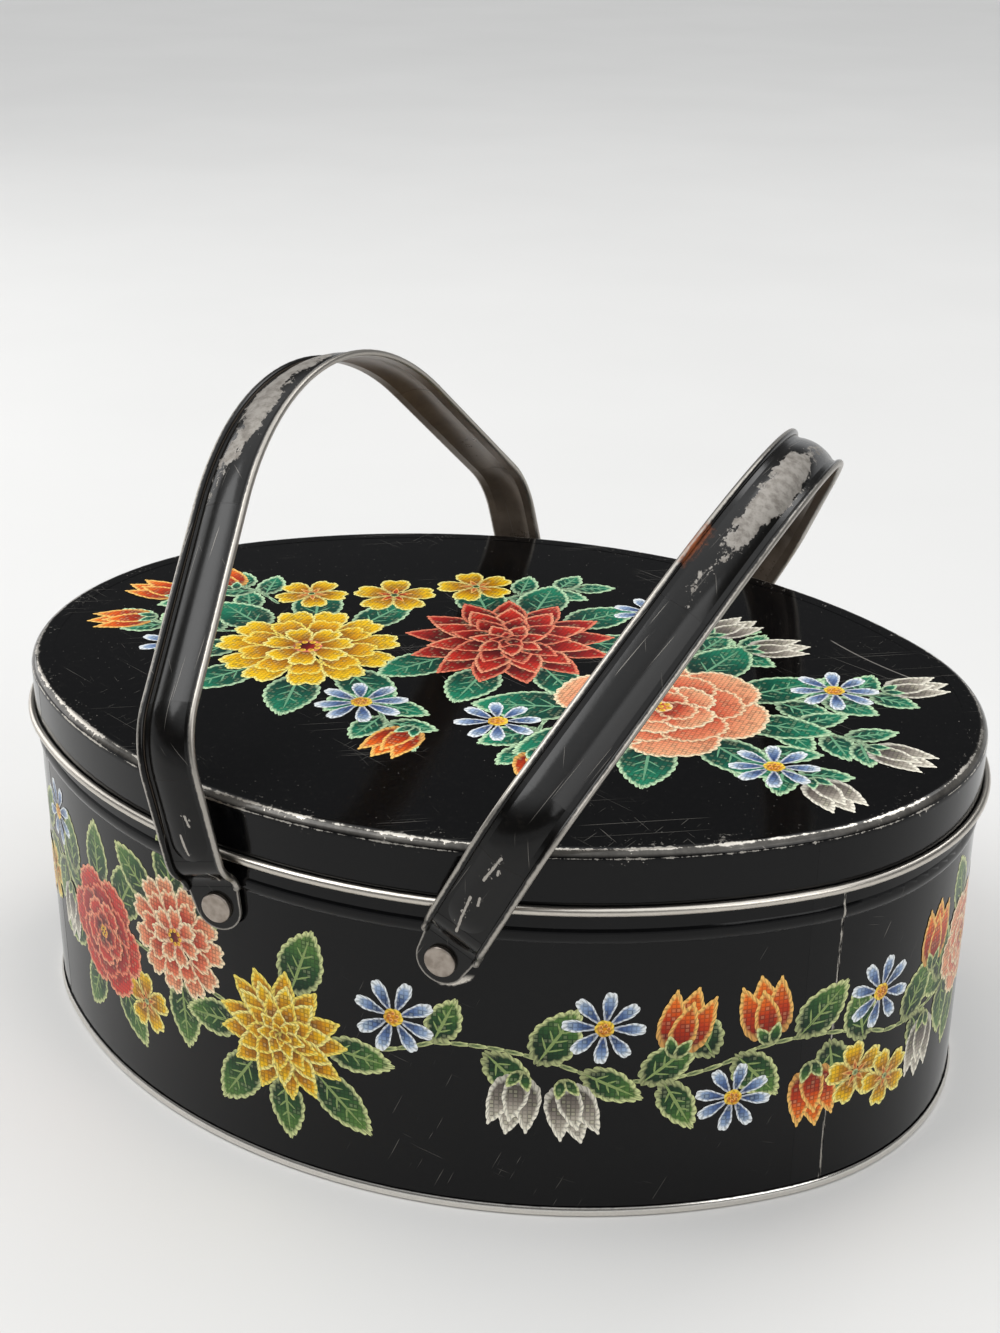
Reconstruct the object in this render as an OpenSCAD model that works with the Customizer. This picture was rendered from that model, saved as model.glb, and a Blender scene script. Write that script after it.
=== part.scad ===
// Oval tin box: drawn lid with a curled edge, seamed wall and base, and two strap handles that swing on rivets.
// X runs along the oval, Y across it, Z up; the origin is on the table under the middle of the tin.

/* [Tin wall] */
// Length of the wall, outside
body_l = 299.2; // [220:0.2:400]
// Width of the wall, outside
body_w = 224.4; // [200:0.2:260]
// Radius of the two round ends of the oval
end_r = 89; // [70:0.5:96]
// Height of the wall's rim above the table
body_h = 114.55; // [90:0.05:180]
// Thickness of the tinplate
sheet = 0.35; // [0.25:0.05:0.5]
// Radius of the curl that is rolled inward along the rim
rim_r = 1; // [0.8:0.1:1.4]
// Width of the slit left open in each rolled edge
slit_w = 0.25; // [0.15:0.05:0.3]
// How far the raised ridge lies under the lid's curl
ridge_drop = 8.4; // [6:0.1:12]
// Height of the raised ridge along the wall
ridge_w = 4.4; // [2:0.1:5]
// How far the raised ridge stands out of the wall
ridge_out = 0.7; // [0.3:0.05:1]
// Direction in which the wall's lock seam faces, from the right end toward the front
seam_at = 42; // [5:1:60]
// Width of the folded seam inside the wall
seam_w = 5; // [3:0.5:8]
// Width of the fine groove that the seam leaves outside
groove_w = 0.5; // [0.3:0.1:1]
// Depth of the fine groove that the seam leaves outside
groove_d = 0.12; // [0.05:0.01:0.2]

/* [Base] */
// Height of the base's seam bead
bead_h = 3; // [2:0.1:5]
// How far the seam bead stands out of the wall
bead_out = 1; // [0.8:0.1:1.6]
// How far the seam bead's face is bowed
bead_bow = 0.65; // [0.4:0.05:0.7]
// Height of the base panel's upper face
base_z = 3; // [2:0.1:6]
// Gap left between the wall and the base where they are seamed
seam_gap = 0.08; // [0.07:0.01:0.12]
// How far the flat panels of the base and the lid lie under their edges
panel_step = 0.1; // [0.08:0.01:0.2]

/* [Lid] */
// Distance from the lid's top down to the middle of its curl
lid_depth = 16.8; // [12:0.1:30]
// Gap between the wall and the lid's skirt
lid_gap = 0.45; // [0.3:0.05:0.8]
// Gap between the rim and the lid that sits on it
seat_gap = 0.12; // [0.05:0.01:0.3]
// Rounding of the lid's top edge
lid_edge_r = 3; // [2:0.1:6]
// Radius of the curl along the lid's lower edge
curl_r = 1.3; // [0.8:0.1:1.4]

/* [Handles] */
// Distance of the handles' pivots from the middle of the tin
pivot_x = 33.5; // [24:0.5:45]
// How far the pivots lie under the lid's curl
pivot_drop = 16.7; // [15:0.1:30]
// Lean of the left handle out of the vertical
left_lean = 12.6; // [0:0.1:60]
// Lean of the right handle out of the vertical
right_lean = 27.7; // [0:0.1:60]
// Width of the strap over its rolled edges
strap_w = 18.2; // [14:0.1:22]
// Thickness of the strap
strap_t = 0.8; // [0.6:0.1:1.2]
// Width of the raised rib along the strap
rib_w = 11.4; // [7:0.1:13]
// Height of the raised rib above the strap
rib_h = 1.3; // [0.6:0.1:2]
// Radius of the strap's rolled edges
roll_r = 1.05; // [0.8:0.05:1.3]
// Gap between the straight legs and the lid's curl
leg_gap = 0.65; // [0.4:0.05:3]
// How far the straight legs rise over the lid's top
leg_rise = 7; // [4:0.1:20]
// Gap between the crown and the lid's curl as the handle swings past the end
crown_gap = 2.6; // [0.8:0.1:8]
// Inside radius of the crown
crown_r = 94; // [60:1:100]
// Inside radius of the shoulders
shoulder_r = 24; // [15:1:30]
// Radius of the rounded foot
foot_r = 7.2; // [6:0.1:8.5]
// Gap between the foot's top corners and the wall
foot_gap = 0.45; // [0.4:0.05:1]
// Height of the flat foot above the pivot
foot_h = 6; // [5:0.1:7]
// Height of the bend that leads from the foot out to the leg
bend_h = 10; // [9:0.1:14]

/* [Rivets] */
// Radius of the rivet's shank in the foot
shank_r = 2.4; // [1.6:0.1:3]
// Gap between the shank and the foot's hole
shank_gap = 0.05; // [0.02:0.01:0.09]
// Gap on either side of the foot, along the rivet
side_gap = 0.08; // [0.03:0.01:0.2]
// Radius of the rivet's head
head_r = 4.45; // [3.5:0.05:5.5]
// Thickness of the rivet's head
head_t = 1.3; // [0.8:0.1:2]
// Rounding of the rivet's head
head_edge = 0.5; // [0.2:0.05:0.7]
// Radius of the collar between the wall and the foot
collar_r = 4.2; // [3.4:0.1:5.5]
// Radius of the stem through the wall
stem_r = 1.9; // [1.2:0.1:2.2]
// Gap between the stem and the wall's hole
stem_gap = 0.02; // [0.01:0.01:0.05]
// Radius of the tail that is spread inside the wall
tail_r = 3.4; // [2.6:0.1:4.5]
// Thickness of the spread tail
tail_t = 1.1; // [0.8:0.1:2]

/* [Hidden] */
$fn = 96;
eps = 0.03;
strap_eps = 0.06;
band_l = 0.3;
lens_short = 2;
black = [0.07, 0.07, 0.075];
lacquer = [0.11, 0.105, 0.1];
bare = [0.62, 0.6, 0.57];

// The oval is made of four arcs: two round ends and two flatter sides that run into them.
half_l = body_l / 2;
half_w = body_w / 2;
end_x = half_l - end_r;
side_y = (end_x * end_x - (half_w - end_r) * (half_w - end_r)) / (2 * (half_w - end_r));
side_r = half_w + side_y;
join = atan2(side_y, end_x);

// Distance of the long side's outer face from the middle, at the place x
function wall_y(x) = sqrt(side_r * side_r - x * x) - side_y;

// Lid: the skirt stands outside the wall, and the rounded top edge comes down on the rim's curl.
skirt_out = lid_gap + sheet;
curl_c = lid_gap + curl_r;
curl_out = lid_gap + 2 * curl_r;
edge_in = max(0, lid_edge_r - skirt_out - rim_r);
edge_reach = lid_edge_r - sheet - rim_r - seat_gap;
edge_up = edge_in > 0 ? sqrt(edge_reach * edge_reach - edge_in * edge_in) : edge_reach;
lid_top = body_h - rim_r - edge_up + lid_edge_r;
curl_z = lid_top - lid_depth;
ridge_z = curl_z - ridge_drop;
flat_in = lid_edge_r + 1;
pivot_z = curl_z - pivot_drop;

// Handles: the straight legs pass the lid's curl, and the crown passes the tin's end.
half_strap = strap_w / 2;
edge_w = half_strap - roll_r;
foot_d = sqrt(foot_h * foot_h + edge_w * edge_w);
foot_a = atan2(edge_w, foot_h) + acos(min(1, foot_r / foot_d));
foot_y = wall_y(pivot_x - foot_d) + foot_gap;
leg_y = half_w + curl_out + leg_gap;
leg_top = lid_top - pivot_z + leg_rise;
reach_x = half_l + curl_out - pivot_x;
crown_h = sqrt(reach_x * reach_x + pivot_drop * pivot_drop) + crown_gap;
step_y = leg_y - foot_y;
bend_a = 2 * atan(step_y / bend_h);
bend_r = bend_h / sin(bend_a) / 2;
bend_top = foot_h + bend_h;
rib_end = bend_top + rib_w / 2;
flank_x = leg_y - shoulder_r;
flank_z = leg_top - (crown_h - crown_r);
flank_d = sqrt(flank_x * flank_x + flank_z * flank_z);
flank_a = atan2(flank_x, flank_z) - acos((crown_r - shoulder_r) / flank_d);
flank_len = sqrt(flank_d * flank_d - (crown_r - shoulder_r) * (crown_r - shoulder_r));
rib_r = (rib_w * rib_w / 4 + rib_h * rib_h) / (2 * rib_h);
rib_lap = 0.1;
rib_in = sqrt(rib_h * (2 * (rib_r - strap_t) - rib_h));

// Sweeps a section round the oval; its x is the distance outside the wall's outer face, its y the height.
// Where two arcs meet, a short band of the second section, which is a hair larger, joins them.
module oval_sweep() {
  for (turn = [0, 180]) {
    rotate([0, 0, turn]) {
      translate([end_x, 0, 0]) rotate([0, 0, -join]) rotate_extrude(angle = 2 * join)
        translate([end_r, 0]) children(0);
      translate([0, -side_y, 0]) rotate([0, 0, join]) rotate_extrude(angle = 180 - 2 * join)
        translate([side_r, 0]) children(0);
      for (side = [-1, 1]) translate([end_x, 0, 0]) rotate([0, 0, side * join]) rotate([90, 0, 0])
        linear_extrude(band_l, center = true) translate([end_r, 0]) children(1);
    }
  }
}

// Oval plate of height h whose edge lies grow outside the wall's outer face: two discs and the lens between them
module oval_plate(grow, h) {
  lens_x = end_x + (end_r + grow) * cos(join) - lens_short;
  for (side = [-1, 1]) translate([side * end_x, 0, 0]) cylinder(r = end_r + grow, h = h);
  intersection() {
    translate([0, -side_y, 0]) cylinder(r = side_r + grow, h = h);
    translate([0, side_y, 0]) cylinder(r = side_r + grow, h = h);
    translate([-lens_x, -body_w, -1]) cube([2 * lens_x, 2 * body_w, h + 2]);
  }
}

// Short piece of the wall's oval that faces the seam, w wide
module at_seam(w) {
  on_end = seam_at <= join;
  r = on_end ? end_r : side_r;
  half_a = w / r * 90 / PI;
  translate([on_end ? end_x : 0, on_end ? 0 : side_y, 0]) rotate([0, 0, -seam_at - half_a])
    rotate_extrude(angle = 2 * half_a) translate([r, 0]) children();
}

// Open roll of sheet round the origin, with its slit on the left of the top
module roll(r, grow = 0) {
  difference() {
    circle(r + grow);
    circle(r - sheet - grow);
    translate([sheet - r + grow, 0]) square([slit_w - 2 * grow, r + 1]);
  }
}

// Section of the wall: a strip with the bowed ridge in it and the rolled rim on top
module wall_section(grow = 0) {
  wall_top = body_h - rim_r;
  bow_r = (ridge_w * ridge_w / 4 + ridge_out * ridge_out) / (2 * ridge_out);
  difference() {
    union() {
      translate([-sheet - 1, sheet + seam_gap]) square([sheet + 1 + grow, wall_top - sheet - seam_gap]);
      translate([ridge_out - bow_r, ridge_z]) circle(bow_r + grow);
    }
    translate([ridge_out - bow_r, ridge_z]) circle(bow_r - sheet - grow);
    translate([-2 * bow_r - sheet - grow, 0]) square([2 * bow_r, body_h]);
  }
  translate([-rim_r, wall_top]) rotate([0, 0, 180]) roll(rim_r, grow);
}

// Wall of the tin with its lock seam and the rivets' holes
module body_wall() {
  seam_low = base_z + seam_gap;
  seam_top = ridge_z - ridge_w / 2;
  color(black) difference() {
    union() {
      oval_sweep() {
        wall_section();
        wall_section(eps);
      }
      at_seam(seam_w) translate([-3 * sheet, seam_low]) square([2.5 * sheet, seam_top - seam_low]);
    }
    at_seam(groove_w) translate([-groove_d, bead_h]) square([1, seam_top - bead_h]);
    for (x = [-pivot_x, pivot_x]) {
      translate([x, half_w + 1, pivot_z]) rotate([90, 0, 0]) cylinder(r = stem_r + stem_gap, h = body_w + 2);
    }
  }
}

// Section of the base's edge: it runs down inside the wall, under it and up outside as a rounded bead
module base_section(grow = 0) {
  inner = -2 * sheet - seam_gap - grow;
  bow_r = (bead_h * bead_h / 4 + bead_bow * bead_bow) / (2 * bead_bow);
  translate([inner, 0]) square([sheet + 2 * grow, base_z]);
  translate([inner, 0]) square([seam_gap + 2 * eps - inner, sheet + grow]);
  intersection() {
    translate([bead_out - bow_r, bead_h / 2]) circle(bow_r + grow);
    translate([seam_gap - grow, 0]) square([bead_out - seam_gap + 2 * grow, bead_h + grow]);
  }
}

// Base panel, raised off the table by its seam
module base_panel() {
  color(black) {
    oval_sweep() {
      base_section();
      base_section(eps);
    }
    translate([0, 0, base_z - panel_step - sheet]) oval_plate(-1.5 * sheet - seam_gap, sheet);
  }
}

// Area under a rounded corner whose faces lie at the distance x and the height z, down to low
module corner(x, z, r, low) {
  depth = lid_edge_r + flat_in;
  translate([x - depth, low]) square([depth - r, z - low]);
  translate([x - depth, low]) square([depth, z - r - low]);
  translate([x - r, z - r]) circle(r);
}

// Section of the lid's edge: flat rim of the top, rounded corner, skirt and outward curl
module lid_section(grow = 0) {
  difference() {
    corner(skirt_out + grow, lid_top + grow, lid_edge_r + grow, curl_z);
    translate([-sheet - grow, -sheet - grow])
      corner(skirt_out, lid_top, lid_edge_r - sheet - grow, curl_z - curl_r);
  }
  translate([curl_c, curl_z]) roll(curl_r, grow);
}

// Lift-off lid
module lid() {
  color(black) {
    oval_sweep() {
      lid_section();
      lid_section(eps);
    }
    translate([0, 0, lid_top - panel_step - sheet])
      oval_plate(skirt_out - lid_edge_r - flat_in / 2, sheet);
  }
}

// Section of the strap's margins, from the distance inner off its middle out to the rolled edges
module edge_section(inner, grow = 0) {
  for (side = [0, 1]) mirror([0, side]) {
    translate([-grow, inner]) square([strap_t + 2 * grow, edge_w - inner]);
    translate([roll_r, edge_w]) circle(roll_r + grow);
  }
}

// Section of the strap: x outward from its inner face, y across it
module strap_section(grow = 0) {
  edge_section((rib_in + rib_w / 2) / 2, grow);
  intersection() {
    translate([strap_t + rib_h - rib_r, 0]) difference() {
      circle(rib_r + grow);
      circle(rib_r - strap_t - grow);
    }
    translate([-grow, -rib_w / 2 - rib_lap]) square([strap_t + rib_h + 2 * grow, rib_w + 2 * rib_lap]);
  }
}

// Flat strap with its rolled edges and no rib
module flat_section(grow = 0) {
  edge_section(-eps, grow);
}

// Outline of the flat foot: x up from the pivot, y across; a round end that widens to the strap
module foot_outline() {
  side_u = (foot_r - eps) * cos(foot_a);
  side_v = (foot_r - eps) * sin(foot_a);
  difference() {
    union() {
      circle(foot_r);
      polygon([[foot_h, edge_w], [side_u, side_v], [side_u, -side_v], [foot_h, -edge_w]]);
    }
    circle(shank_r + shank_gap);
  }
}

// Band of a section that is a hair larger, across a place where two pieces of the strap meet
module band(tilt) {
  rotate([0, 0, tilt]) rotate([90, 0, 0]) linear_extrude(band_l, center = true) children();
}

// Straight run of strap from the origin; its outer face looks up by tilt from the x axis
module run(tilt, len) {
  rotate([0, 0, tilt]) rotate([90, 0, 0]) linear_extrude(len) children();
}

// Foot, bend, leg, shoulder and flank of one side; x across the tin, y up from the pivot, z across the strap
module handle_side() {
  translate([foot_y, 0, 0]) rotate([90, 0, 90]) linear_extrude(strap_t) foot_outline();
  translate([foot_y + bend_r, foot_h, 0]) rotate([0, 0, 180 - bend_a]) rotate_extrude(angle = bend_a)
    translate([bend_r, 0]) mirror([1, 0]) flat_section();
  translate([foot_y, foot_h, 0]) band(0) flat_section(strap_eps);
  translate([leg_y - bend_r, bend_top, 0]) rotate([0, 0, -bend_a]) {
    rotate_extrude(angle = bend_a) translate([bend_r, 0]) flat_section();
    translate([bend_r, 0, 0]) band(0) flat_section(strap_eps);
  }
  translate([leg_y, bend_top, 0]) band(0) flat_section(strap_eps);
  translate([leg_y, leg_top, 0]) run(0, leg_top - rib_end) strap_section();
  translate([leg_y, rib_end, 0]) run(0, rib_end - bend_top) flat_section();
  for (side = [-1, 1]) translate([foot_y + roll_r, foot_h, side * edge_w]) sphere(roll_r);
  translate([leg_y + strap_t + rib_h - rib_r, rib_end, 0]) intersection() {
    sphere(rib_r);
    translate([rib_r - rib_h - strap_t / 2, -rib_r, -rib_r]) cube([rib_r, rib_r, 2 * rib_r]);
  }
  translate([leg_y, leg_top, 0]) band(0) strap_section(strap_eps);
  translate([flank_x, leg_top, 0]) rotate_extrude(angle = 90 - flank_a)
    translate([shoulder_r, 0]) strap_section();
  translate([flank_x, leg_top, 0]) rotate([0, 0, 90 - flank_a]) translate([shoulder_r, 0, 0])
    band(0) strap_section(strap_eps);
  translate([crown_r * sin(flank_a), crown_h - crown_r + crown_r * cos(flank_a), 0])
    run(90 - flank_a, flank_len) strap_section();
  translate([crown_r * sin(flank_a), crown_h - crown_r + crown_r * cos(flank_a), 0])
    band(90 - flank_a) strap_section(strap_eps);
}

// Whole handle about its pivot, upright
module strap_handle() {
  rotate([90, 0, 90]) {
    for (side = [0, 1]) mirror([side, 0, 0]) handle_side();
    translate([0, crown_h - crown_r, 0]) rotate([0, 0, 90 - flank_a]) rotate_extrude(angle = 2 * flank_a)
      translate([crown_r, 0]) strap_section();
  }
}

// Left handle at its lean
module left_handle() {
  color(lacquer) translate([-pivot_x, 0, pivot_z]) rotate([0, -left_lean, 0]) strap_handle();
}

// Right handle at its lean
module right_handle() {
  color(lacquer) translate([pivot_x, 0, pivot_z]) rotate([0, right_lean, 0]) strap_handle();
}

// Round piece of a rivet on the back: from the distance y0 to y1 off the middle of the tin
module rivet_piece(r, y0, y1) {
  translate([0, y1, 0]) rotate([90, 0, 0]) cylinder(r = r, h = y1 - y0);
}

// Rivet on the back of the tin at the place x: head, shank, collar, stem and the tail spread inside
module rivet_at(x) {
  collar_in = wall_y(abs(x) + collar_r) - sheet;
  collar_face = foot_y - side_gap;
  head_face = foot_y + strap_t + side_gap;
  tail_in = wall_y(abs(x) + tail_r) - sheet - tail_t;
  color(bare) {
    translate([x, 0, pivot_z]) {
      rivet_piece(shank_r, collar_face - eps, head_face + eps);
      rivet_piece(stem_r, tail_in, collar_face);
      translate([0, head_face, 0]) rotate([-90, 0, 0]) rotate_extrude() {
        square([head_r - head_edge, head_t]);
        square([head_r, head_t - head_edge]);
        translate([head_r - head_edge, head_t - head_edge]) circle(head_edge);
      }
    }
    difference() {
      translate([x, 0, pivot_z]) rivet_piece(collar_r, collar_in, collar_face);
      translate([0, 0, pivot_z - collar_r - 1]) oval_plate(0, 2 * collar_r + 2);
    }
    intersection() {
      translate([x, 0, pivot_z]) rivet_piece(tail_r, tail_in, wall_y(0));
      translate([0, 0, pivot_z - tail_r - 1]) oval_plate(-sheet, 2 * tail_r + 2);
    }
  }
}

// Rivet of the left handle on the front
module rivet_front_left() {
  mirror([0, 1, 0]) rivet_at(-pivot_x);
}

// Rivet of the right handle on the front
module rivet_front_right() {
  mirror([0, 1, 0]) rivet_at(pivot_x);
}

// Rivet of the left handle on the back
module rivet_back_left() {
  rivet_at(-pivot_x);
}

// Rivet of the right handle on the back
module rivet_back_right() {
  rivet_at(pivot_x);
}

body_wall();
base_panel();
lid();
left_handle();
right_handle();
rivet_front_left();
rivet_front_right();
rivet_back_left();
rivet_back_right();
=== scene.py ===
"""Looks of an oval lidded tin box with two swinging strap handles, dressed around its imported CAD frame."""
import logging
import math
import random
from collections.abc import Callable, Iterable
from dataclasses import dataclass, field, replace
from enum import Enum
from functools import reduce

import bpy
from mathutils import Matrix, Vector


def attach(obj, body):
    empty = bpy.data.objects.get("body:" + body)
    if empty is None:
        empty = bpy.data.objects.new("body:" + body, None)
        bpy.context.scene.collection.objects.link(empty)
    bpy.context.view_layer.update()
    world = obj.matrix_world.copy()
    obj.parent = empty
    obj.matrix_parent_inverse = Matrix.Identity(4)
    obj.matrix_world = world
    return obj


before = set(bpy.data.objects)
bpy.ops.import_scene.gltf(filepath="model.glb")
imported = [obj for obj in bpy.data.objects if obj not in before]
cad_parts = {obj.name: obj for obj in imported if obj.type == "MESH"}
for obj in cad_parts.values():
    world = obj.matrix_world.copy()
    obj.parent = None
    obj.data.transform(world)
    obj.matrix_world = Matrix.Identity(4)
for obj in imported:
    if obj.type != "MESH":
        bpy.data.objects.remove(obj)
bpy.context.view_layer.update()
LOG = logging.getLogger("oval_tin")
MM = 0.001
Tint = tuple[float, float, float]
Point = tuple[float, float]
Stroke = tuple[Point, Point]
Spot = tuple[float, float, float]
Quad = tuple[float, float, float, float]


def tint(red: int, green: int, blue: int) -> Tint:
    """Turn a screen colour, each part from 0 to 255, into linear light."""
    parts = (part / 255 for part in (red, green, blue))
    return tuple(c / 12.92 if c <= 0.04045 else ((c + 0.055) / 1.055) ** 2.4 for c in parts)


def blend_tint(a: Tint, b: Tint, t: float) -> Tint:
    """Mix two tints; t runs from 0 for the first to 1 for the second."""
    t = min(1.0, max(0.0, t))
    return tuple(p + (q - p) * t for p, q in zip(a, b))


def way(turn: float) -> Point:
    """Cosine and sine of a turn in degrees."""
    return math.cos(math.radians(turn)), math.sin(math.radians(turn))


def turned(x: float, y: float, turn: float) -> Point:
    """Turn a point about the origin, by degrees."""
    c, s = way(turn)
    return x * c - y * s, x * s + y * c


@dataclass(frozen=True)
class OvalForm:
    """Four-centre oval of the wall's outer face, in millimetres."""

    half_l: float = 149.6
    half_w: float = 112.2
    end_r: float = 89.0

    @property
    def end_x(self) -> float:
        """Distance of the round ends' centres from the middle."""
        return self.half_l - self.end_r

    @property
    def side_y(self) -> float:
        """Distance of the flat sides' centres from the middle."""
        rise = self.half_w - self.end_r
        return (self.end_x ** 2 - rise ** 2) / (2 * rise)

    @property
    def side_r(self) -> float:
        """Radius of the flat sides."""
        return self.half_w + self.side_y

    @property
    def join(self) -> float:
        """Angle off the long axis at which an end runs into a side."""
        return math.atan2(self.side_y, self.end_x)

    @property
    def perimeter(self) -> float:
        """Length of the whole oval."""
        return sum(r * (b - a) for _, r, a, b in self.arcs())

    def arcs(self) -> list[tuple[Point, float, float, float]]:
        """List the arcs from the middle of the front, going round by the right.

        Returns:
            Centre, radius, first and last direction of each arc.
        """
        j, quarter = self.join, math.pi / 2
        side, end = self.side_r, self.end_r
        return [((0.0, self.side_y), side, -quarter, -j), ((self.end_x, 0.0), end, -j, j),
                ((0.0, -self.side_y), side, j, math.pi - j),
                ((-self.end_x, 0.0), end, math.pi - j, math.pi + j),
                ((0.0, self.side_y), side, math.pi + j, 3 * quarter)]

    def at(self, s: float, out: float) -> Point:
        """Find a place on the oval.

        Args:
            s: Way along the oval from the middle of the front, to the right.
            out: Distance outside the wall's outer face.

        Returns:
            The place's x and y.
        """
        s %= self.perimeter
        for (cx, cy), r, a, b in self.arcs():
            length = r * (b - a)
            if s <= length + 1e-9:
                turn = a + s / r
                return cx + (r + out) * math.cos(turn), cy + (r + out) * math.sin(turn)
            s -= length
        return self.at(0.0, out)


OVAL = OvalForm()
LID_TOP = 115.6
PANEL_TOP = 115.5
LID_EDGE_R = 3.0
CURL_OUT = 1.15
SKIRT_OUT = 0.8
PIVOT_X = 33.5
PIVOT_Z = 82.1
# Between these two y a mark that only the front carries fades in.
FRONT = (-90.0, -95.0)
# Strokes on the straps: way along the crown, or up the leg from the pivot, and way across.
RIGHT_RUST = ((-46.0, -7.5), (-58.0, -7.8))
LEFT_NICKS = (((24.5, -1.0), (18.5, -0.4)), ((11.5, 2.6), (8.5, 3.2)), ((30.0, 1.8), (27.0, 2.4)))
RIGHT_NICKS = (((27.1, -1.8), (14.5, -0.3)), ((42.4, -0.5), (33.9, -1.3)), ((38.9, 0.7), (37.8, 0.9)),
               ((28.6, 0.4), (26.4, 0.9)), ((12.0, -6.6), (9.6, -5.6)))


class Value:
    """Number in a shader graph that takes part in plain sums."""

    def __init__(self, graph: "Graph", socket: bpy.types.NodeSocket) -> None:
        """Keep the graph and the socket that gives the number."""
        self.graph = graph
        self.socket = socket

    def __add__(self, other: "Number") -> "Value":
        """Sum."""
        return self.graph.math("ADD", self, other)

    def __sub__(self, other: "Number") -> "Value":
        """Difference."""
        return self.graph.math("SUBTRACT", self, other)

    def __rsub__(self, other: float) -> "Value":
        """Difference from a plain number."""
        return self.graph.math("SUBTRACT", other, self)

    def __mul__(self, other: "Number") -> "Value":
        """Product."""
        return self.graph.math("MULTIPLY", self, other)

    def __truediv__(self, other: "Number") -> "Value":
        """Quotient."""
        return self.graph.math("DIVIDE", self, other)

    def __abs__(self) -> "Value":
        """Size without sign."""
        return self.graph.math("ABSOLUTE", self)

    __radd__ = __add__
    __rmul__ = __mul__


Number = Value | float
Paint = Value | Tint


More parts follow.
